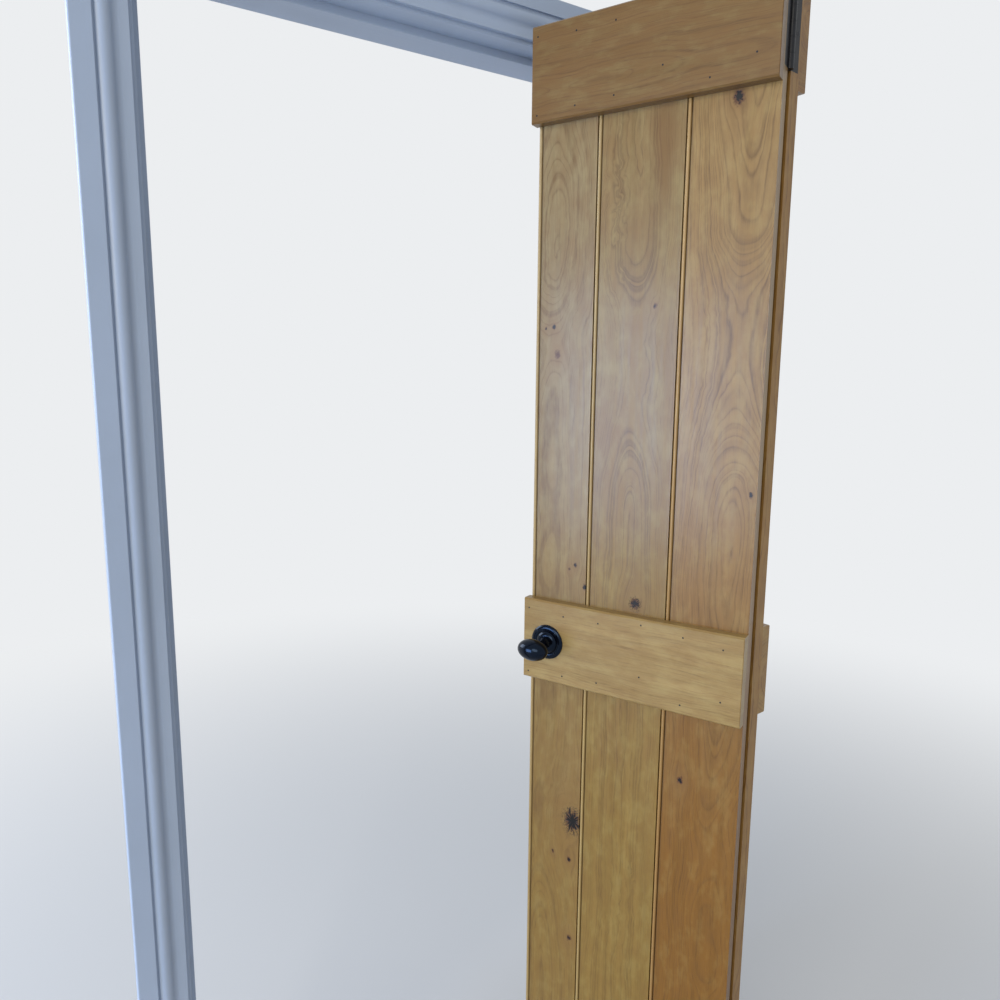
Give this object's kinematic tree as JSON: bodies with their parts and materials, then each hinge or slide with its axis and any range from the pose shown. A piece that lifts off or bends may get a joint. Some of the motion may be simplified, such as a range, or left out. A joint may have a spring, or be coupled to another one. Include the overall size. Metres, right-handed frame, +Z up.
{
  "type": "bifold cottage door",
  "caption": "Ledged and boarded oak door in two leaves that fold together, in its rebated lining with architrave, with black hinges and oval knobs that throw a bolt.",
  "frame": {"origin": "middle of the latch jamb's foot, on the floor", "axes": "+X across the doorway from the latch jamb to the hinge jamb, +Y from the room to the hall, +Z up"},
  "size_m": [0.923, 0.5123, 2.069],
  "materials": {
    "painted_lining": "white satin paint on softwood",
    "painted_architrave": "white satin paint on moulded softwood",
    "oak_boards": "rustic oak, satin lacquer",
    "oak_ledges": "rustic oak, satin lacquer",
    "black_iron": "black paint, satin",
    "black_gloss": "black gloss",
    "lock_steel": "satin",
    "bright_steel": "satin"
  },
  "bodies": {
    "frame": {"latch_jamb": "painted_lining", "hinge_jamb": "painted_lining", "head_jamb": "painted_lining", "latch_architrave": "painted_architrave", "hinge_architrave": "painted_architrave", "head_architrave": "painted_architrave", "keep_plate": "bright_steel", "keep_screws": "bright_steel", "jamb_hinge_top_frame_flap": "black_iron", "jamb_hinge_bottom_frame_flap": "black_iron", "jamb_hinge_top_pin": "black_iron", "jamb_hinge_bottom_pin": "black_iron"},
    "hung_leaf": {"hung_outer_board": "oak_boards", "hung_middle_board": "oak_boards", "hung_fold_board": "oak_boards", "hung_top_ledge": "oak_ledges", "hung_middle_ledge": "oak_ledges", "hung_bottom_ledge": "oak_ledges", "jamb_hinge_top_leaf_flap": "black_iron", "jamb_hinge_bottom_leaf_flap": "black_iron", "fold_hinge_top_hung_flap": "black_iron", "fold_hinge_bottom_hung_flap": "black_iron", "fold_hinge_top_pin": "black_iron", "fold_hinge_bottom_pin": "black_iron"},
    "leading_leaf": {"leading_outer_board": "oak_boards", "leading_middle_board": "oak_boards", "leading_fold_board": "oak_boards", "leading_top_ledge": "oak_ledges", "leading_middle_ledge": "oak_ledges", "leading_bottom_ledge": "oak_ledges", "fold_hinge_top_leading_flap": "black_iron", "fold_hinge_bottom_leading_flap": "black_iron", "bolt_case": "lock_steel", "bolt_case_cover": "lock_steel", "bolt_faceplate": "bright_steel", "faceplate_screws": "bright_steel", "room_rose": "black_gloss", "hall_rose": "black_gloss"},
    "knob_set": {"room_knob": "black_gloss", "hall_knob": "black_gloss", "knob_spindle": "lock_steel", "bolt_pinion": "lock_steel", "grub_screws": "lock_steel"},
    "bolt": {"bolt": "lock_steel"}
  },
  "joints": [
    {"name": "jamb_hinge", "type": "hinge", "parent": "frame", "child": "hung_leaf", "pos_m": [0.7755, -0.0565, 0], "axis": [0, 0, 1], "range_deg": [-97, 4]},
    {"name": "fold_hinge", "type": "hinge", "parent": "hung_leaf", "child": "leading_leaf", "pos_m": [0.77168, -0.44385, 0], "axis": [0, 0, 1], "range_deg": [-6.69, 162.02]},
    {"name": "knob_turn", "type": "hinge", "parent": "leading_leaf", "child": "knob_set", "pos_m": [0.60678, -0.15056, 1.0015], "axis": [0.9063, 0.4226, 0], "range_deg": [0, 90]},
    {"name": "bolt_slide", "type": "slide", "parent": "leading_leaf", "child": "bolt", "axis": [-0.4226, 0.9063, 0], "range_m": [0, 0.0118]}
  ],
  "couplings": [
    {"joint": "fold_hinge", "follows": "jamb_hinge", "ratio": -1.6701},
    {"joint": "bolt_slide", "follows": "knob_turn", "m_per_rad": 0.0075}
  ]
}
